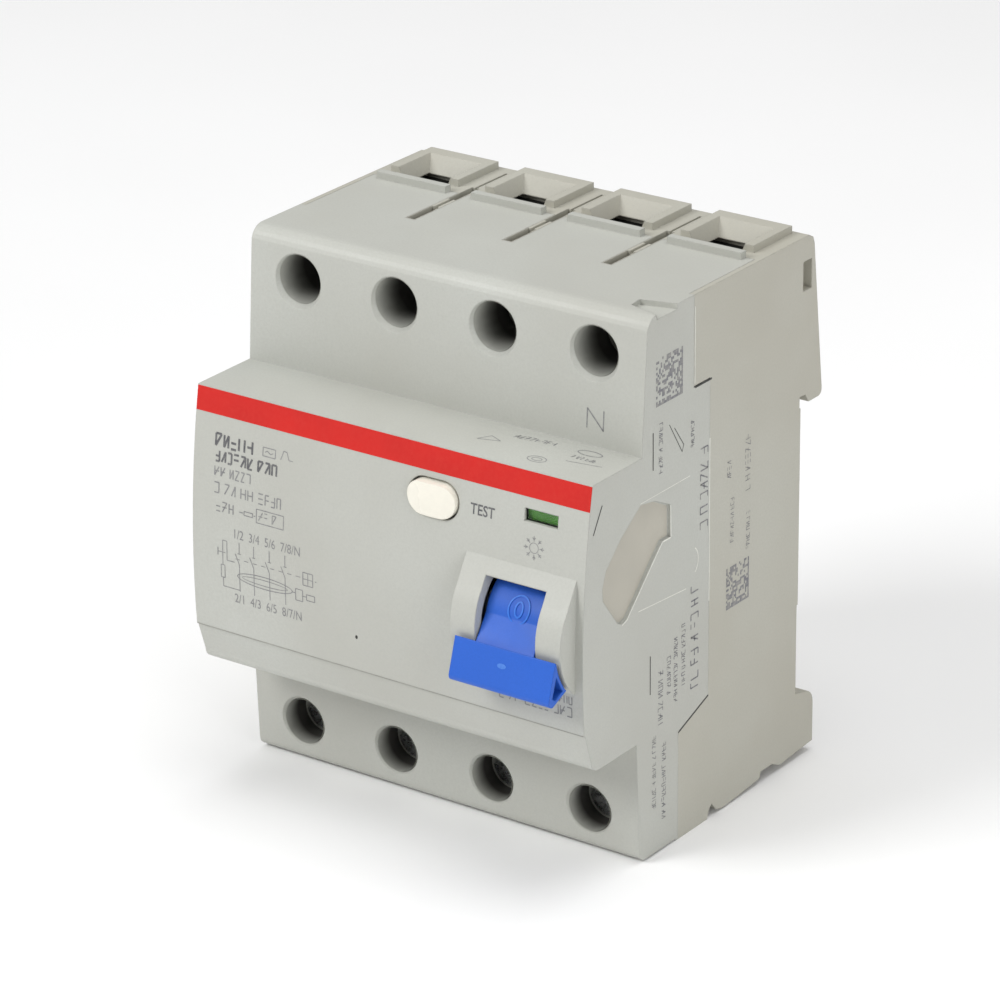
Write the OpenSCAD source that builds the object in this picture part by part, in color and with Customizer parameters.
// Residual current device, four poles, for a 35 mm top-hat rail.
// X runs across the poles, Y points back into the rail, Z points up.
// The origin is the centre of the face that rests on the rail.

/* [Housing] */
// Width of one pole
pole_pitch = 17.5; // [16.5:0.1:21]
// Top face above the rail's centre line
body_top = 42.4; // [41.4:0.1:51]
// Bottom face below the rail's centre line
body_bottom = 41.6; // [40.5:0.1:50]
// Rail face to the front of the shoulders
shoulder_depth = 41.8; // [41:0.1:50]
// Rail face to the front of the nose
nose_depth = 56.6; // [55.5:0.1:68]
// Height of the nose
nose_height = 44; // [42:0.5:53]
// Thickness of the outer walls
wall = 1.6; // [1.3:0.1:2]
// Radius of the upper front corner
corner_r = 2.5; // [1:0.1:3]
// Radius of the slight bulge of the nose, seen from the side
bulge_r = 156; // [120:1:250]
// Height of the fold line across the nose, below the rail's centre line
fold_z = -15.5; // [-17:0.1:-13]
// Thickness of the walls between two poles
pole_wall = 3; // [2.4:0.1:3.6]
// Width of the slots in the pole walls
pole_slot = 1.4; // [1:0.1:1.6]

/* [Rail grip] */
// Height of the rail
rail_height = 35; // [35:35]
// Depth of the fixed hook behind the rail face
hook_depth = 5.8; // [4.5:0.1:7]
// Depth of the foot behind the rail face
foot_depth = 4.7; // [4.4:0.1:6]
// Height that hook and clip reach over the rail's edge
rail_grip = 1.3; // [1:0.1:1.6]
// Gap behind the rail face for the rail's edge
rail_edge_gap = 1.3; // [1.1:0.1:1.5]
// Width of a rail clip's tongue
clip_w = 12; // [10:0.5:14]
// Travel of a rail clip when it is pulled down
clip_travel = 3.5; // [2.5:0.1:4]

/* [Terminals] */
// Radius of the screwdriver wells above
line_well_r = 3.75; // [3.6:0.05:4.2]
// Radius of the screwdriver wells below
load_well_r = 3.6; // [3.6:0.05:4.2]
// Depth of the line screw heads behind the shoulder
line_head_depth = 9.6; // [8:0.1:10]
// Depth of the load screw heads behind the shoulder
load_head_depth = 5.5; // [4:0.1:8]
// Radius of the screw heads
screw_head_r = 3.3; // [2.8:0.05:3.4]
// Radius of the screw shanks
screw_r = 2.4; // [2:0.05:2.6]
// Screw thread's pitch, which the cage moves in one turn
screw_pitch = 0.8; // [0.7:0.05:1]
// Width of a cage
cage_w = 10.4; // [9:0.1:10.8]
// Height of a cage along the conductor
cage_h = 8.6; // [7.5:0.1:9]
// Thickness of a cage's strip
cage_wall = 1.1; // [0.9:0.1:1.3]
// Travel of a cage from open to closed
cage_travel = 5.5; // [4:0.1:6]
// Width of a terminal bar
bar_w = 6.8; // [5:0.1:7.4]
// Thickness of a terminal bar
bar_t = 1.4; // [1:0.1:1.6]

/* [Toggle] */
// Distance of the toggle's centre from the right-hand face
toggle_inset = 10.9; // [10.5:0.1:12]
// Height of the toggle's pivot
toggle_z = -1.7; // [-2.5:0.1:-1]
// Depth of the pivot behind the nose front
toggle_pivot_depth = 6.3; // [6:0.1:7]
// Radius of the toggle's barrel
barrel_r = 7.6; // [7:0.05:7.7]
// Width of the toggle's neck and barrel
toggle_w = 9.95; // [9:0.05:10]
// Width of the grip across the toggle
grip_w = 17.3; // [16:0.1:18]
// Offset of the grip from the toggle's middle, towards the right side
grip_shift = 0.6; // [0:0.05:0.8]
// Radius of the housing's guard around the barrel
guard_r = 9.8; // [9.5:0.1:10]
// Width of the guard
guard_w = 19; // [18:0.1:20]
// Swing of the toggle from off to on
toggle_travel = 56; // [40:1:58]

/* [Test button and window] */
// Button centre from the middle of the nose
button_x = 8.4; // [6:0.1:9]
// Height of the button's centre
button_z = 14.4; // [13.8:0.1:15]
// Button's width
button_w = 8.5; // [7:0.1:9]
// Button's height
button_h = 5.1; // [4:0.1:5.4]
// Gap around the button
button_gap = 0.3; // [0.2:0.05:0.5]
// Travel of the button
button_travel = 1.5; // [1:0.1:1.6]
// Height of the window's centre
window_z = 15.6; // [15:0.1:15.8]
// Window's width
window_w = 5.7; // [4:0.1:6]
// Window's height
window_h = 1.9; // [1.4:0.1:2]
// Height of each colour field on the flag
flag_field = 2.3; // [2.1:0.1:2.4]

/* [Contacts] */
// Radius of the contact carrier's shaft
carrier_r = 3; // [2.5:0.1:3.2]
// Swing of the contact arms from open to closed
contact_travel = 20; // [14:1:20]
// Radius of a contact tip
contact_r = 1.6; // [1.2:0.1:1.8]
// Gap between closed contact tips
contact_gap = 0.05; // [0.05:0.05:0.3]

/* [Sensing and tripping] */
// Outer radius of the summation transformer
toroid_r = 10.3; // [9:0.1:10.3]
// Radius of its hole
toroid_hole_r = 5.5; // [5:0.1:6]
// Height of the transformer
toroid_h = 11; // [9:0.1:11]
// Thickness of its winding
winding_t = 0.6; // [0.4:0.1:0.6]
// Radius of a primary lead
lead_r = 0.9; // [0.7:0.05:1]
// Radius of the trip relay's coil
relay_coil_r = 4.9; // [4:0.1:4.9]
// Radius of the relay's plunger
plunger_r = 1.2; // [1:0.05:1.3]

/* [Fits] */
// Radial gap of a shaft that turns in a bore
running_gap = 0.05; // [0.02:0.01:0.1]
// Gap between faces that slide
slide_gap = 0.15; // [0.1:0.01:0.25]

/* [Hidden] */
poles = 4;
eps = 0.01;
far = 200;
width = poles * pole_pitch;
half_w = width / 2;
function pole_x(i) = (i - (poles + 1) / 2) * pole_pitch;
cell_half = (pole_pitch - pole_wall) / 2;

// Housing
back_wall = 2.2;
rail_relief = 0.3;
rail_top = rail_height / 2;
pad_half = rail_top - 1.7;
nose_half = nose_height / 2;
shoulder_top = -shoulder_depth;
shoulder_low = -shoulder_depth - 1.3;
bulge_y = -nose_depth + bulge_r;
bulge_z = -6.6;
part_top = -28.6;
part_mid = -24.4;
part_low = -32.3;
part_jog_z = 28.6;
part_slope_z = -21.4;
slope_drop = 3;
seam = 0.25;
line_z = body_top - 6.6;
load_z = -body_bottom + 6.7;
chamber_floor = line_z - 10;
chamber_ceiling = load_z + 6.9;
divider = 1.6;
well_wall = 1.4;
tongue_end = -11.6;
tongue_start = -25;
tongue_gap = 0.9;
slot_mid = -16.5;
slot_end = -8.3;
lip_h = 1.1;
funnel_rim = 1.15;
funnel_half = 6.3;
funnel_back = 0.9;
funnel_edge = 1.5;
rim_front = tongue_end + 2.2;
funnel_floor = line_z + cage_h / 2 + 0.9;

// Terminals
cage_strap_t = 1.2;
cage_back = -back_wall - 0.3 - cage_strap_t;
wire_min = 1.4;
bar_back = cage_back - cage_travel - wire_min;
bar_front = bar_back - bar_t;
cage_front = bar_front - cage_travel - 2.1;
cage_nut_t = 2.4;
thread_depth = 0.75 * screw_pitch;
screw_tip = bar_front - 0.3;
screw_head_t = 2.6;
line_head_y = shoulder_top + line_head_depth + 0.3;
load_head_y = shoulder_low + load_head_depth + 0.3;

// Toggle
toggle_x = half_w - toggle_inset;
toggle_y = -nose_depth + toggle_pivot_depth;
grip_x = toggle_x + grip_shift;
pin_r = 1.25;
hub_r = 3;
frame_t = 1;
frame_half = 7.6;
neck_top = 16;
guard_slope = 60;
guard_slope_len = 6.5;
grip_low = 218;
grip_span = 31;
grip_clear = 0.35;
opening_half = toggle_w / 2 + 0.25;
opening_reach = barrel_r * sin(neck_top + toggle_travel) + 0.27;

// Mechanism
frame_back = -27;
shelf_z = -2;
shelf_t = 1.5;
shaft_y = -20;
shaft_z = 6;
trip_y = -30.4;
trip_z = -4;
trip_r = 1.5;
paddle_t = 1.2;
relay_x = 8;
relay_y = trip_y - 6;
relay_top = -8.6;
relay_low = -19.8;
relay_half = 6.5;
relay_plate = 1.4;
plunger_top = trip_z - paddle_t / 2 - 0.1;
toroid_y = -14.5;
toroid_z = -11;
lead_dx = 1.5;
lead_dy = 1.5;

// Flag and window
flag_x = half_w - 8;
flag_y = -nose_depth + 13.6;
flag_r = 10.75;
flag_t = 0.8;
flag_half = window_w / 2 + 1.05;
flag_shaft_r = 0.9;
lens_t = 0.65;
lens_back = flag_y - flag_r - slide_gap - 0.05;

// Rail clips
clip_x = pole_pitch;
clip_flange = 1.9;
clip_flange_t = 1.5;
clip_back = foot_depth - 0.3;
clip_seat = -rail_top - 0.1;
foot_top = -31.1;
peg_z = -30;
peg_t = 1.4;
clip_spring_solid = 4.6;
clip_spring_top = peg_z + peg_t + clip_spring_solid + clip_travel;

// Test circuit
button_front = -nose_depth + 0.2;
button_skirt = -nose_depth + 4.1;
button_end = -nose_depth + 9.4;
blade_y = button_end + button_travel + 0.1;
tray_top = button_z - 6;

// Contact arms
arm_w = 2.4;
arm_pad_z = 17.5;

// ---- Helpers ----

// A block from its two opposite corners
module block(x, y, z) {
    translate([x[0], y[0], z[0]]) cube([x[1] - x[0], y[1] - y[0], z[1] - z[0]]);
}

// An outline drawn in (y, z), extruded along X
module along_x(x0, x1) {
    translate([x0, 0, 0]) rotate([90, 0, 90]) linear_extrude(x1 - x0) children();
}

// An outline drawn in (x, z), extruded along Y
module along_y(y0, y1) {
    translate([0, y1, 0]) rotate([90, 0, 0]) linear_extrude(y1 - y0) children();
}

module rod_x(y, z, r, x0, x1) {
    translate([x0, y, z]) rotate([0, 90, 0]) cylinder(h = x1 - x0, r = r, $fn = 64);
}

module rod_y(x, z, r, y0, y1) {
    translate([x, y0, z]) rotate([-90, 0, 0]) cylinder(h = y1 - y0, r = r, $fn = 64);
}

module rod_z(x, y, r, z0, z1) {
    translate([x, y, z0]) cylinder(h = z1 - z0, r = r, $fn = 64);
}

// Points of a circular arc, first coordinate along Y and second along Z
function arc(c, r, a0, a1, n = 6) =
    [for (i = [0:n]) let (a = a0 + (a1 - a0) * i / n) [c[0] + r * cos(a), c[1] + r * sin(a)]];

function unit(v) = v / norm(v);

// A round wire swept along a list of points
module wire(path, r, ref, sides = 6) {
    n = len(path);
    rings = [for (i = [0:n - 1])
        let (t = unit(path[min(i + 1, n - 1)] - path[max(i - 1, 0)]),
             u = unit(cross(t, ref)), v = cross(t, u))
        for (k = [0:sides - 1]) path[i] + r * (cos(k * 360 / sides) * u + sin(k * 360 / sides) * v)];
    sides_faces = [for (i = [0:n - 2], k = [0:sides - 1])
        let (a = i * sides + k, b = i * sides + (k + 1) % sides)
        each [[a, b, b + sides], [a, b + sides, a + sides]]];
    caps = [[for (k = [sides - 1:-1:0]) k], [for (k = [0:sides - 1]) (n - 1) * sides + k]];
    polyhedron(points = rings, faces = concat(sides_faces, caps), convexity = 10);
}

// The centre line of a coil that winds along Z from z0 to z1
function coil(r, z0, z1, turns, steps = 10) =
    [for (i = [0:turns * steps]) let (a = i * 360 / steps)
        [r * cos(a), r * sin(a), z0 + (z1 - z0) * i / (turns * steps)]];

// ---- Housing outlines, in (y, z) ----

function cover_outline() = concat(
    [[part_top, body_top]],
    arc([shoulder_top + 1.3 + corner_r, body_top - corner_r], corner_r, 90, 180),
    [[shoulder_top, nose_half], [-nose_depth - 4, nose_half], [-nose_depth - 4, fold_z],
     [-nose_depth + 0.5, fold_z]],
    arc([-nose_depth + 3.8, -nose_half + 1.8], 1.8, 180, 270),
    [[shoulder_low, -nose_half]],
    arc([shoulder_low + 2.3, -body_bottom + 1.9], 1.6, 180, 270),
    [[part_low - 0.7, -body_bottom + 0.3], [part_low - 0.6, -body_bottom], [part_low, -body_bottom],
     [part_low, part_slope_z - slope_drop + seam], [part_mid, part_slope_z + seam],
     [part_mid, part_jog_z - seam], [part_top, part_jog_z - seam]]);

function cover_hollow() = [
    [0, body_top - wall], [shoulder_top + 1.3 + corner_r, body_top - wall],
    [shoulder_top + 1.3 + wall, body_top - corner_r - 0.4], [shoulder_top + wall, nose_half - wall],
    [-nose_depth - 4, nose_half - wall], [-nose_depth - 4, fold_z], [-nose_depth + 0.5 + wall, fold_z],
    [-nose_depth + 2 + wall + 0.2, -nose_half + wall], [shoulder_low + wall, -nose_half + wall],
    [shoulder_low + 0.7 + wall, -body_bottom + 0.3 + wall], [0, -body_bottom + 0.3 + wall]];

function base_outline() = concat(
    [[part_top, body_top], [1.7, body_top], [2.8, body_top - 0.6], [3.2, body_top - 1.6],
     [hook_depth, rail_top - 0.1]],
    arc([hook_depth - 0.9, rail_top - rail_grip + 0.9], 0.9, 0, -90, 4),
    [[rail_edge_gap + 0.9, rail_top - rail_grip], [rail_edge_gap, rail_top + 0.1],
     [-rail_relief, rail_top + 0.15], [-rail_relief, pad_half], [0, pad_half],
     [0, -pad_half], [-rail_relief, -pad_half], [-rail_relief, foot_top + 0.6]],
    arc([foot_depth - 2.5, foot_top - 2.5], 2.5, 90, 0),
    [[foot_depth, -body_bottom + 1.5], [-1.3, -body_bottom + 1.1], [-4.5, -body_bottom + 0.9],
     [-6.7, -body_bottom + 1.9], [-9.8, -body_bottom + 1.9], [-10.1, -body_bottom + 0.9],
     [-20.3, -body_bottom + 0.2], [-21.9, -body_bottom + 0.6], [-23.3, -body_bottom + 2.1],
     [-24.1, -body_bottom + 1.1], [-24.5, -body_bottom], [part_low, -body_bottom],
     [part_low, part_slope_z - slope_drop], [part_mid, part_slope_z],
     [part_mid, part_jog_z], [part_top, part_jog_z]]);

// The circle that bulges the nose, moved in by a wall thickness
module bulge(inset) {
    translate([bulge_y, bulge_z]) circle(r = bulge_r - inset, $fn = 360);
}

// The shallow pocket in the sides that takes an auxiliary contact block
module side_pocket() {
    polygon([[-42.1, 15], [-38.5, 14.4], [-34.6, 12.5], [-34.5, 7.5], [-36.7, 7.5], [-45.7, -1.3],
             [-46.8, -1.6], [-47.9, -1.1], [-51.6, 3.7], [-51.7, 5.6], [-50.8, 8], [-47.3, 11.4]]);
}

// ---- Housing ----

// A tapered shaft for one conductor, wide at z_out and narrow at z_in
module wire_funnel(x, z_out, z_in) {
    out_half = funnel_half - funnel_edge;
    in_half = cage_w / 2 - cage_wall - 0.4;
    intersection() {
        along_y(tongue_end - eps, 0)
            polygon([[x - out_half, z_out], [x + out_half, z_out],
                     [x + in_half, z_in], [x - in_half, z_in]]);
        along_x(x - out_half, x + out_half)
            polygon([[tongue_end - eps, z_out], [funnel_back - funnel_edge - 0.8, z_out],
                     [cage_back + 0.3, z_in], [tongue_end - eps, z_in]]);
    }
}

// The slots in the pole walls and the seats for the cover's tongues
module top_cuts() {
    for (i = [1:poles]) {
        x = pole_x(i);
        seat = pole_pitch / 2 - tongue_gap + 0.05;
        block([x - seat, x + seat], [part_top - eps, tongue_end + 0.05], [body_top - wall - 0.05, far]);
    }
    block([-half_w + 0.85, half_w - 0.85], [part_top - eps, tongue_start + 0.05],
          [body_top - wall - 0.05, far]);
    for (i = [1:poles - 1]) {
        x = pole_x(i) + pole_pitch / 2;
        block([x - pole_slot / 2, x + pole_slot / 2], [tongue_start + 0.2, slot_mid - 2], [line_z - 4, far]);
        block([x - pole_slot / 2, x + pole_slot / 2], [slot_mid + 2, slot_end], [line_z - 4, far]);
        block([x - 0.3, x + 0.3], [slot_mid - 2 - eps, slot_mid + 2 + eps], [body_top - 0.5, far]);
        block([x - 0.2, x + 0.2], [slot_end - eps, -0.3], [body_top - 0.5, far]);
    }
}

module base_chambers() {
    for (i = [1:poles]) {
        x = pole_x(i);
        left = i == 1 ? -half_w + wall : x - cell_half;
        right = i == poles ? half_w - wall : x + cell_half;
        block([left, right], [-60, -back_wall], [chamber_floor, funnel_floor]);
        block([left, right], [-60, tongue_end], [chamber_floor, body_top - wall]);
        block([left, right], [-60, -back_wall], [-body_bottom + wall + 0.3, chamber_ceiling]);
    }
    block([-half_w + wall, half_w - wall], [-60, -back_wall],
          [chamber_ceiling + divider, chamber_floor - divider]);
}

// Hollows in the back of the hook and of the foot, between ribs
module back_pockets() {
    for (i = [1:poles]) {
        x = pole_x(i);
        half = pole_pitch / 2 - 2;
        block([x - half, x + half], [1.2, far], [rail_top + 3, line_z + 2]);
    }
    for (s = [-1, 1]) {
        block([s * clip_x - clip_w / 2 - clip_flange - 0.1, s * clip_x + clip_w / 2 + clip_flange + 0.1],
              [-rail_relief, clip_flange_t + slide_gap], [-far, foot_top + 1]);
        block([s * clip_x - clip_w / 2 - 0.1, s * clip_x + clip_w / 2 + 0.1],
              [-rail_relief, far], [-far, foot_top + 1]);
        block([s > 0 ? half_w - 1.5 : -half_w - eps, s > 0 ? half_w + eps : -half_w + 1.5],
              [0.2, 2.6], [line_z - 1.8, line_z + 2.8]);
    }
    block([-clip_x + clip_w / 2 + 3.4, clip_x - clip_w / 2 - 3.4], [1.2, far],
          [-body_bottom + 3.5, foot_top - 1.5]);
}

module base_housing() {
    color([0.72, 0.71, 0.67]) {
        difference() {
            union() {
                along_x(-half_w, half_w) polygon(base_outline());
                for (i = [1:poles])
                    block([pole_x(i) - funnel_half, pole_x(i) + funnel_half],
                          [rim_front, funnel_back], [body_top - eps, body_top + funnel_rim]);
            }
            base_chambers();
            top_cuts();
            back_pockets();
            for (i = [1:poles]) {
                wire_funnel(pole_x(i), body_top + funnel_rim + eps, funnel_floor - eps);
                wire_funnel(pole_x(i), -body_bottom - eps, -body_bottom + wall + 0.3 + eps);
                block([pole_x(i) - bar_w / 2 - 0.1, pole_x(i) + bar_w / 2 + 0.1],
                      [bar_front - 0.1, bar_back + 0.1], [load_z - 2, line_z + 2]);
            }
        }
        for (s = [-1, 1])
            block([s * clip_x - 1.5, s * clip_x + 1.5], [-rail_relief - eps, 3.2], [peg_z, peg_z + peg_t]);
    }
}

// ---- Cover ----

module cover_shell() {
    difference() {
        along_x(-half_w, half_w) intersection() {
            polygon(cover_outline());
            bulge(0);
        }
        along_x(-half_w + wall, half_w - wall) intersection() {
            polygon(cover_hollow());
            bulge(wall);
        }
    }
}

module cover_walls() {
    x0 = -half_w + wall / 2;
    block([x0, -x0], [shoulder_top + wall / 2, part_mid], [chamber_floor - divider, chamber_floor]);
    block([x0, -x0], [shoulder_low + wall / 2, part_low], [chamber_ceiling, chamber_ceiling + divider]);
    for (i = [1:poles - 1]) {
        x = pole_x(i) + pole_pitch / 2;
        block([x - wall / 2, x + wall / 2], [shoulder_top + wall, part_top],
              [chamber_floor - eps, body_top - corner_r - 0.4]);
        block([x - wall / 2, x + wall / 2], [shoulder_top + 1.3 + corner_r, part_top],
              [chamber_floor, body_top - wall / 2]);
        block([x - wall / 2, x + wall / 2], [shoulder_low + wall, part_low],
              [-body_bottom + wall, chamber_ceiling + eps]);
    }
    for (i = [1:poles]) {
        rod_y(pole_x(i), line_z, line_well_r + well_wall, shoulder_top + 2,
              line_head_y + screw_head_t + 0.3);
        rod_y(pole_x(i), load_z, load_well_r + well_wall, shoulder_low + 2,
              load_head_y + screw_head_t + 0.3);
    }
}

module cover_tongues() {
    for (i = [1:poles]) {
        half = pole_pitch / 2 - tongue_gap;
        block([pole_x(i) - half, pole_x(i) + half], [part_top - 3, tongue_end], [body_top - wall, body_top]);
        block([pole_x(i) - funnel_half - 0.1, pole_x(i) + funnel_half + 0.1], [tongue_end - 1.3, tongue_end],
              [body_top - eps, body_top + lip_h]);
    }
    block([-half_w + 0.9, half_w - 0.9], [part_top - 3, tongue_start], [body_top - wall, body_top]);
}

// The guard that stands out around the toggle, with a slope from its top to the nose
module cover_front_details() {
    tangent = (guard_r - 0.05) * [-sin(guard_slope), cos(guard_slope)];
    end = tangent + guard_slope_len * [cos(guard_slope), sin(guard_slope)];
    difference() {
        rod_x(toggle_y, toggle_z, guard_r, toggle_x - guard_w / 2, toggle_x + guard_w / 2);
        block([-far, far], [toggle_y - 2.6, 0], [-far, far]);
    }
    translate([0, toggle_y, toggle_z]) along_x(toggle_x - guard_w / 2, toggle_x + guard_w / 2)
        polygon([tangent, end, [end[0], tangent[1] - 2], [tangent[0] + 0.4, tangent[1] - 2]]);
}

module cover_front_cuts() {
    rod_x(toggle_y, toggle_z, barrel_r + 0.35, toggle_x - opening_half, toggle_x + opening_half);
    block([toggle_x - opening_half, toggle_x + opening_half], [-far, toggle_y],
          [toggle_z - opening_reach, toggle_z + opening_reach]);
    for (s = [-1, 1])
        rod_x(toggle_y, toggle_z, guard_r - wall,
              toggle_x + (s > 0 ? opening_half - eps : -guard_w / 2 + wall),
              toggle_x + (s > 0 ? guard_w / 2 - wall : -opening_half + eps));
    stadium(button_w / 2 + button_gap, button_h / 2 + button_gap, -far, 0);
    block([flag_x - window_w / 2, flag_x + window_w / 2], [-far, lens_back + 1],
          [window_z - window_h / 2, window_z + window_h / 2]);
    intersection() {
        rod_x(flag_y, window_z, flag_r + slide_gap, flag_x - flag_half - 0.2, flag_x + flag_half + 0.2);
        block([-far, far], [-far, flag_y - 7], [window_z - 6, window_z + 4.2]);
    }
}

module well(x, z, r, front) {
    rod_y(x, z, r, front - 3, front + 25);
    translate([x, front - 0.6, z]) rotate([-90, 0, 0]) cylinder(h = 1.4, r1 = r + 1, r2 = r, $fn = 64);
}

module front_cover() {
    color([0.77, 0.77, 0.74]) difference() {
        union() {
            cover_shell();
            cover_walls();
            cover_tongues();
            cover_front_details();
        }
        cover_front_cuts();
        for (i = [1:poles]) {
            well(pole_x(i), line_z, line_well_r, shoulder_top + 0.8);
            well(pole_x(i), load_z, load_well_r, shoulder_low + 0.3);
        }
        along_x(half_w - 0.5, half_w + 1) side_pocket();
        along_x(-half_w - 1, -half_w + 0.5) side_pocket();
        translate([0, 0, body_top - 0.8]) linear_extrude(2)
            polygon([[half_w - 5.2, -36.8], [half_w - 5.4, -34.3],
                     [half_w + 1, -32.6], [half_w + 1, -38.5]]);
    }
}

module window_lens() {
    color([0.85, 0.9, 0.88, 0.35])
        block([flag_x - window_w / 2, flag_x + window_w / 2], [lens_back - lens_t, lens_back],
              [window_z - window_h / 2, window_z + window_h / 2]);
}

// A curved plate with two colour fields, one above the other, on an arm that swings with the toggle
module indicator_flag() {
    field = flag_field / flag_r * 180 / PI;
    top = 180 - field / 2;
    color([0.2, 0.5, 0.2]) translate([0, flag_y, window_z]) {
        along_x(flag_x - flag_half, flag_x + flag_half)
            polygon(concat(arc([0, 0], flag_r, top, top + 2 * field, 12),
                           arc([0, 0], flag_r - flag_t, top + 2 * field, top, 12)));
        along_x(flag_x - 1, flag_x + 1)
            polygon([[0, 1.5], [0.4 - flag_r, -0.6], [0.4 - flag_r, -3.2], [-8, -2.9], [0, -1.5]]);
        rod_x(0, 0, 1.6, flag_x - 1, flag_x + 1);
        rod_x(0, 0, flag_shaft_r, toggle_x - frame_half - 0.3, toggle_x + frame_half + 0.3);
    }
}

// ---- Toggle ----

// The toggle's outlines are drawn around its pivot, in (y, z), in the off position
module toggle_handle() {
    color([0.2, 0.42, 0.93]) translate([0, toggle_y, toggle_z]) difference() {
        union() {
            rod_x(0, 0, barrel_r, toggle_x - toggle_w / 2, toggle_x + toggle_w / 2);
            rod_x(0, 0, hub_r, toggle_x - frame_half + frame_t + 0.1, toggle_x + frame_half - frame_t - 0.1);
            along_x(toggle_x - toggle_w / 2, toggle_x + toggle_w / 2)
                polygon([[-barrel_r * cos(neck_top), barrel_r * sin(neck_top)], [-guard_r - 0.5, -2.2],
                         [1.6 - guard_r, -6.1], [-4.5, -5.5], [-4, 2]]);
            along_x(grip_x - grip_w / 2, grip_x + grip_w / 2) grip_outline();
        }
        rod_x(0, 0, pin_r + running_gap, -far, far);
        for (s = [-1, 1])
            along_x(grip_x + (s > 0 ? 0.6 : -grip_w / 2 - 1), grip_x + (s > 0 ? grip_w / 2 + 1 : -0.6))
                translate([-guard_r, 0]) polygon([[-0.6, -3.3], [-1.6, -6.3], [-0.9, -6.8], [0.9, -6]]);
    }
}

// The grip's back follows the guard, from its lower end, where it is closest, to its top
module grip_outline() {
    polygon(concat([[-guard_r - 0.75, -1.1]], arc([-guard_r - 1.6, -6.7], 0.9, 155, 285, 6),
        [for (i = [0:6]) let (r = guard_r + grip_clear + 0.05 * i, a = grip_low - grip_span * i / 6)
            [r * cos(a), r * sin(a)]]));
}

module toggle_pin() {
    color([0.75, 0.76, 0.78])
        rod_x(toggle_y, toggle_z, pin_r, toggle_x - frame_half - 0.4, toggle_x + frame_half + 0.4);
}

// A torsion spring around the hub, beside the barrel
module toggle_spring() {
    color([0.7, 0.71, 0.73]) translate([toggle_x + toggle_w / 2 + 0.35, toggle_y, toggle_z])
        rotate([0, 90, 0]) wire(coil(3.9, 0, 0.9, 2, 12), 0.2, [0, 0, 1]);
}

// ---- Mechanism ----

module frame_plate(x) {
    along_x(x, x + frame_t) difference() {
        union() {
            polygon([[frame_back - 1.5, -8.5], [frame_back - 1.5, 5], [-42, 4], [toggle_y, toggle_z + 4],
                     [toggle_y, toggle_z - 4], [-42, -6.5], [-36, -8.5]]);
            translate([toggle_y, toggle_z]) circle(r = 4, $fn = 64);
            translate([flag_y, window_z]) circle(r = 2, $fn = 64);
            translate([flag_y - 2, toggle_z + 4]) square([4, window_z - toggle_z - 4]);
        }
        translate([toggle_y, toggle_z]) circle(r = pin_r, $fn = 64);
        translate([flag_y, window_z]) circle(r = flag_shaft_r + running_gap, $fn = 64);
        translate([trip_y, trip_z]) circle(r = trip_r + running_gap, $fn = 64);
    }
}

module mechanism_frame() {
    color([0.66, 0.67, 0.68]) {
        frame_plate(toggle_x - frame_half);
        frame_plate(toggle_x + frame_half - frame_t);
        block([toggle_x - frame_half, toggle_x + frame_half], [frame_back - 1.5, frame_back], [-8.5, 5]);
    }
}

module trip_lever() {
    color([0.85, 0.83, 0.76]) {
        rod_x(trip_y, trip_z, trip_r, -1.3, toggle_x + frame_half + 0.4);
        block([relay_x - 4, relay_x + 4], [relay_y - 2.2, trip_y],
              [trip_z - paddle_t / 2, trip_z + paddle_t / 2]);
        block([toggle_x - 2, toggle_x + 2], [trip_y - 1.4, trip_y], [trip_z, trip_z + 6]);
    }
}

module relay_yoke() {
    color([0.6, 0.61, 0.63]) difference() {
        block([relay_x - relay_half, relay_x + relay_half], [relay_y - 5.6, frame_back - 1.5],
              [relay_low, relay_top]);
        block([relay_x - relay_half + relay_plate, relay_x + relay_half - relay_plate],
              [-far, frame_back - 1.5 - relay_plate], [relay_low + relay_plate, relay_top - relay_plate]);
        rod_z(relay_x, relay_y, plunger_r + running_gap, relay_low + relay_plate, 0);
    }
}

module relay_coil() {
    color([0.72, 0.42, 0.2]) translate([relay_x, relay_y, 0]) rotate_extrude($fn = 64) {
        low = relay_low + relay_plate;
        high = relay_top - relay_plate;
        polygon([[plunger_r + 0.3, low], [relay_coil_r, low], [relay_coil_r, low + 0.8],
                 [relay_coil_r - 0.5, low + 0.8], [relay_coil_r - 0.5, high - 0.8],
                 [relay_coil_r, high - 0.8], [relay_coil_r, high], [plunger_r + 0.3, high]]);
    }
}

module relay_plunger() {
    color([0.75, 0.76, 0.78]) {
        rod_z(relay_x, relay_y, plunger_r, relay_low + relay_plate + 4, plunger_top - 0.4);
        translate([relay_x, relay_y, plunger_top - 0.4])
            cylinder(h = 0.4, r1 = plunger_r, r2 = plunger_r - 0.4, $fn = 64);
    }
}

// ---- Test circuit ----

// A prism with round ends, centred on the button, from y0 to y1
module stadium(half_x, half_z, y0, y1) {
    flat = half_x - half_z;
    block([button_x - flat, button_x + flat], [y0, y1], [button_z - half_z, button_z + half_z]);
    for (s = [-1, 1]) rod_y(button_x + s * flat, button_z, half_z, y0, y1);
}

module test_button() {
    color([0.93, 0.91, 0.83]) {
        intersection() {
            stadium(button_w / 2, button_h / 2, button_front, button_skirt + eps);
            translate([button_x, button_front + 14, button_z]) sphere(r = 14, $fn = 128);
        }
        stadium(button_w / 2 + 1, button_h / 2 + 0.8, button_skirt, button_skirt + 1);
        rod_y(button_x, button_z, 1, button_skirt + 1 - eps, button_end);
    }
}

module test_button_spring() {
    color([0.7, 0.71, 0.73]) translate([button_x, button_skirt + 1.25, button_z]) rotate([-90, 0, 0])
        wire(coil(1.7, 0, 3.9, 4), 0.2, [0, 0, 1]);
}

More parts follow.
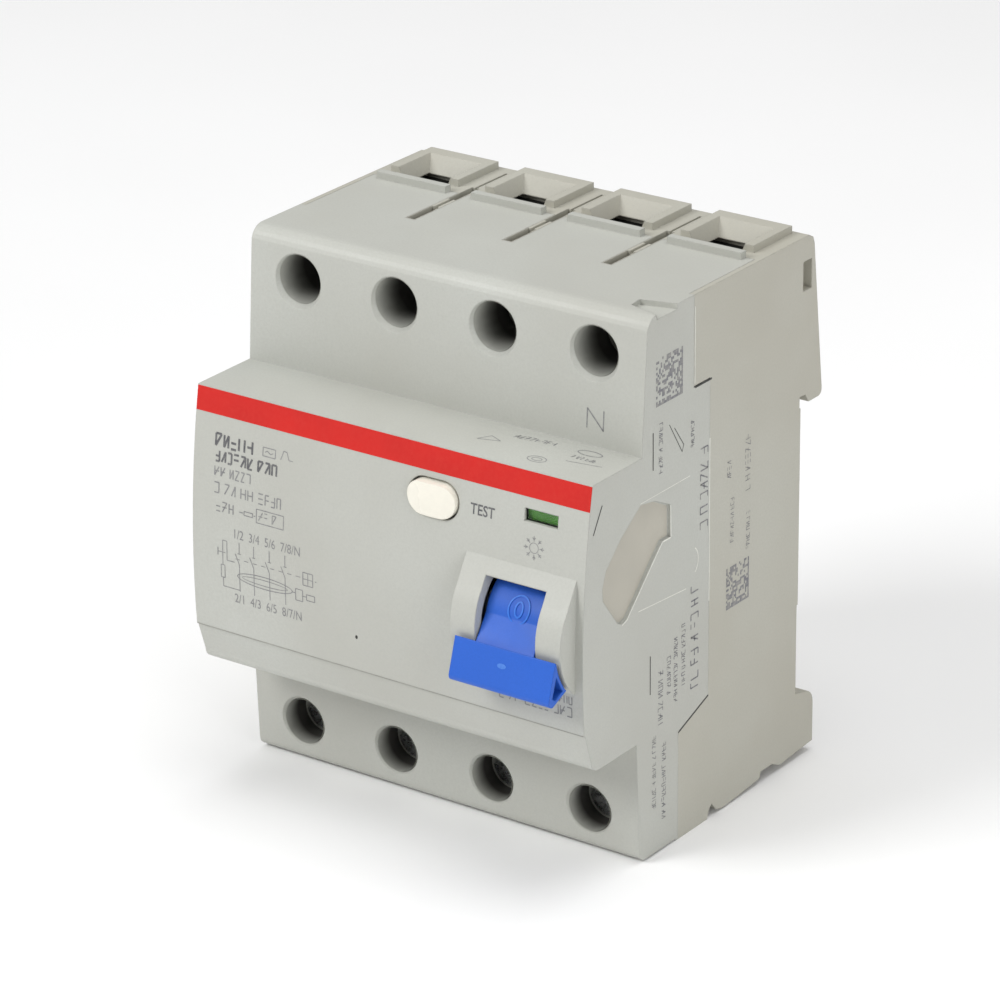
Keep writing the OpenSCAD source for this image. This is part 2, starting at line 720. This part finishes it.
module test_contact_blade() {
    color([0.8, 0.6, 0.3]) {
        block([button_x - 1.5, button_x + 1.5], [blade_y, blade_y + 0.3], [tray_top, button_z + 2]);
        block([button_x - 1.5, button_x + 1.5], [blade_y + 0.3, blade_y + 2.8], [tray_top, tray_top + 0.3]);
    }
}

module test_resistor() {
    color([0.35, 0.55, 0.75]) {
        y = blade_y + 5;
        z = tray_top + 1.62;
        rod_x(y, z, 1.6, button_x - 4, button_x + 4);
        rod_x(y, z, 0.35, button_x - 4.8, button_x + 7);
    }
}

// ---- Inner frame with the contact shaft's bearings ----

module bearing_ear(x) {
    along_x(x - 0.8, x + 0.8) difference() {
        union() {
            translate([shaft_y - 4.6, shelf_z + shelf_t - eps]) square([9.2, shaft_z - shelf_z - shelf_t]);
            translate([shaft_y, shaft_z]) circle(r = 4.6, $fn = 64);
        }
        translate([shaft_y, shaft_z]) circle(r = carrier_r + running_gap, $fn = 64);
    }
}

module inner_frame() {
    color([0.3, 0.31, 0.33]) difference() {
        union() {
            block([-half_w + wall, half_w - wall], [frame_back, -back_wall], [shelf_z, shelf_z + shelf_t]);
            block([-2, relay_x + relay_half], [frame_back - 1.5, frame_back],
                  [relay_low, shelf_z + shelf_t]);
            along_x(-1, 0.6)
                polygon([[frame_back - 1.5 + eps, -8], [trip_y, -7], [trip_y - 2.4, trip_z - 1.5],
                         [trip_y - 2.4, trip_z + 1.5], [frame_back - 1.5 + eps, -0.5]]);
            for (k = [-1:1]) bearing_ear(k * pole_pitch);
            for (s = [-1, 1]) bearing_ear(s * (half_w - wall - 2));
            block([button_x - 5, button_x + 7.2], [button_end, frame_back], [tray_top - 1.5, tray_top]);
            block([button_x - 5, button_x + 7.2], [frame_back - 1.5, frame_back], [shelf_z, tray_top]);
            block([button_x - 5, button_x + 5], [button_end, button_end + 0.8],
                  [tray_top - eps, button_z + 3]);
            for (p = [[-7.2, 4], [7.2, 4], [0, 8]])
                block([p[0] - 1.2, p[0] + 1.2], [toroid_y + p[1] - 1.1, toroid_y + p[1] + 1.1],
                      [toroid_z + toroid_h / 2, shelf_z + eps]);
        }
        rod_x(trip_y, trip_z, trip_r + running_gap, -2, 2);
        rod_y(button_x, button_z, 1.3, button_end - 1, button_end + 2);
        for (i = [1:poles]) rod_z(pole_x(i), lead_row(i), lead_r + 0.3, shelf_z - 1, shelf_z + 3);
    }
}

// ---- Contacts, drawn closed and turned to the open rest position ----

module at_rest_open() {
    translate([0, shaft_y, shaft_z]) rotate([contact_travel, 0, 0]) translate([0, -shaft_y, -shaft_z])
        children();
}

module contact_carrier() {
    color([0.2, 0.2, 0.22]) at_rest_open() {
        rod_x(shaft_y, shaft_z, carrier_r, -half_w + wall + 0.6, half_w - wall - 0.6);
        for (i = [1:poles])
            block([pole_x(i) - 2.5, pole_x(i) + 2.5], [shaft_y - 4, shaft_y - 1.8],
                  [shaft_z - 2, shaft_z + 5]);
    }
}

module contact_arm(i) {
    color([0.72, 0.45, 0.25]) at_rest_open() {
        along_x(pole_x(i) - arm_w / 2, pole_x(i) + arm_w / 2) difference() {
            union() {
                translate([shaft_y, shaft_z]) circle(r = 4.4, $fn = 64);
                polygon([[shaft_y - 1.4, shaft_z], [shaft_y - 1.4, arm_pad_z + 2],
                         [bar_front - 1.6, arm_pad_z + 2], [bar_front - 1.6, arm_pad_z - 2],
                         [shaft_y + 1.6, arm_pad_z - 3.5], [shaft_y + 1.6, shaft_z]]);
            }
            translate([shaft_y, shaft_z]) circle(r = carrier_r, $fn = 64);
            translate([shaft_y - 4.5, shaft_z - 2]) square([2.7, 7]);
        }
        rod_y(pole_x(i), arm_pad_z, contact_r, bar_front - 1.6, bar_front - 0.8 - contact_gap);
    }
}

module contact_leaf(i) {
    color([0.78, 0.72, 0.5]) at_rest_open()
        block([pole_x(i) - 1.5, pole_x(i) + 1.5], [shaft_y - 1.8, shaft_y - 1.4],
              [shaft_z + 4.5, arm_pad_z]);
}

// ---- Terminals ----

module line_bar(i) {
    color([0.72, 0.45, 0.25]) {
        block([pole_x(i) - bar_w / 2, pole_x(i) + bar_w / 2], [bar_front, bar_back],
              [arm_pad_z - 2.4, line_z + cage_h / 2 - 0.4]);
        rod_y(pole_x(i), arm_pad_z, contact_r + 0.2, bar_front - 0.8, bar_front + eps);
    }
}

module load_bar(i) {
    color([0.72, 0.45, 0.25])
        block([pole_x(i) - bar_w / 2, pole_x(i) + bar_w / 2], [bar_front, bar_back],
              [load_z - cage_h / 2 + 0.4, -20.5]);
}

// A strip cage that clamps the conductor against the bar
module cage(x, z) {
    color([0.62, 0.62, 0.62]) difference() {
        block([x - cage_w / 2, x + cage_w / 2], [cage_front - cage_nut_t, cage_back + cage_strap_t],
              [z - cage_h / 2, z + cage_h / 2]);
        block([x - cage_w / 2 + cage_wall, x + cage_w / 2 - cage_wall], [cage_front, cage_back],
              [z - far, z + far]);
        rod_y(x, z, screw_r + running_gap, -far, cage_front + eps);
    }
}

// A clamp screw with a combined cross and slot in its head, whose front is at head_y
module clamp_screw(x, z, head_y) {
    color([0.8, 0.81, 0.82]) difference() {
        union() {
            rod_y(x, z, screw_head_r, head_y, head_y + screw_head_t);
            rod_y(x, z, screw_r, head_y + screw_head_t - eps, screw_tip - screw_pitch);
            rod_y(x, z, screw_r - thread_depth, screw_tip - screw_pitch - eps, screw_tip);
        }
        block([x - screw_head_r - 1, x + screw_head_r + 1], [head_y - 1, head_y + 1], [z - 0.45, z + 0.45]);
        block([x - 0.6, x + 0.6], [head_y - 1, head_y + 1.4], [z - 2.1, z + 2.1]);
    }
}

// ---- Sensing ----

module toroid_core() {
    color([0.25, 0.26, 0.28]) translate([0, toroid_y, toroid_z]) difference() {
        cylinder(h = toroid_h, r = toroid_r, center = true, $fn = 96);
        cylinder(h = toroid_h + 1, r = toroid_hole_r, center = true, $fn = 96);
    }
}

module secondary_winding() {
    color([0.7, 0.4, 0.2]) translate([0, toroid_y, toroid_z]) rotate([0, 0, 215])
        rotate_extrude(angle = 110, $fn = 96) difference() {
            translate([toroid_hole_r - winding_t, -toroid_h / 2 - winding_t])
                square([toroid_r - toroid_hole_r + 2 * winding_t, toroid_h + 2 * winding_t]);
            translate([toroid_hole_r, -toroid_h / 2]) square([toroid_r - toroid_hole_r, toroid_h]);
        }
}

// The inner two leads run behind the outer two
function lead_row(i) = toroid_y + (i == 1 || i == poles ? -lead_dy : lead_dy);

module primary_lead(i) {
    side = sign(pole_x(i));
    x = pole_x(i);
    y = lead_row(i);
    upper = toroid_z + toroid_h / 2 + 2;
    lower = toroid_z - toroid_h / 2 - 2.2;
    color([0.75, 0.35, 0.15]) wire([
        [x, y, shelf_z + 4], [x, y, upper + 0.7], [x - side * 0.7, y, upper],
        [side * (lead_dx + 0.7), y, upper], [side * lead_dx, y, upper - 0.7],
        [side * lead_dx, y, lower + 0.7], [side * (lead_dx + 0.7), y, lower],
        [x - side * 0.7, y, lower], [x, y, lower - 0.7], [x, min(y, -14.6), lower - 2.1],
        [x, min(y, -14.6) + 0.7, lower - 2.9], [x, bar_front, lower - 2.9]], lead_r, [0.03, 0.97, 0.2], 8);
}

// ---- Rail clips ----

module rail_clip(x) {
    color([0.16, 0.16, 0.17]) difference() {
        union() {
            block([x - clip_w / 2, x + clip_w / 2], [slide_gap, clip_back], [-body_bottom + 0.5, clip_seat]);
            block([x - clip_w / 2 - clip_flange, x + clip_w / 2 + clip_flange],
                  [slide_gap - 0.1, clip_flange_t], [-body_bottom + 2.4, foot_top + 5]);
            along_x(x - clip_w / 2, x + clip_w / 2)
                polygon([[rail_edge_gap, clip_seat - eps], [rail_edge_gap + 0.5, -rail_top + rail_grip],
                         [rail_edge_gap + 1.1, -rail_top + rail_grip], [clip_back, clip_seat - 1.6],
                         [rail_edge_gap, clip_seat - 1.6]]);
        }
        along_x(x - far, x + far)
            polygon([[clip_back - 1.6, clip_seat + eps], [clip_back + 1, clip_seat + eps],
                     [clip_back + 1, clip_seat - 2.6]]);
        block([x - 1.8, x + 1.8], [-1, 3.5], [peg_z - 0.1, clip_spring_top]);
        block([x - 2.6, x + 2.6], [1.2, 2.6], [-far, -body_bottom + 3.2]);
    }
}

module clip_spring(x) {
    color([0.7, 0.71, 0.73]) translate([x, 1.75, 0])
        wire(coil(1.2, peg_z + peg_t + 0.2, clip_spring_top - 0.2, 6), 0.2, [0, 0, 1]);
}

base_housing();
front_cover();
window_lens();
indicator_flag();
toggle_handle();
toggle_pin();
toggle_spring();
mechanism_frame();
trip_lever();
relay_yoke();
relay_coil();
relay_plunger();
test_button();
test_button_spring();
test_contact_blade();
test_resistor();
inner_frame();
contact_carrier();
toroid_core();
secondary_winding();
rail_clip(-clip_x);  // rail_clip_left
rail_clip(clip_x);  // rail_clip_right
clip_spring(-clip_x);  // clip_spring_left
clip_spring(clip_x);  // clip_spring_right
for (i = [1:poles]) {
    contact_arm(i);
    contact_leaf(i);
    line_bar(i);
    load_bar(i);
    primary_lead(i);
    cage(pole_x(i), line_z);
    cage(pole_x(i), load_z);
    clamp_screw(pole_x(i), line_z, line_head_y);
    clamp_screw(pole_x(i), load_z, load_head_y);
}
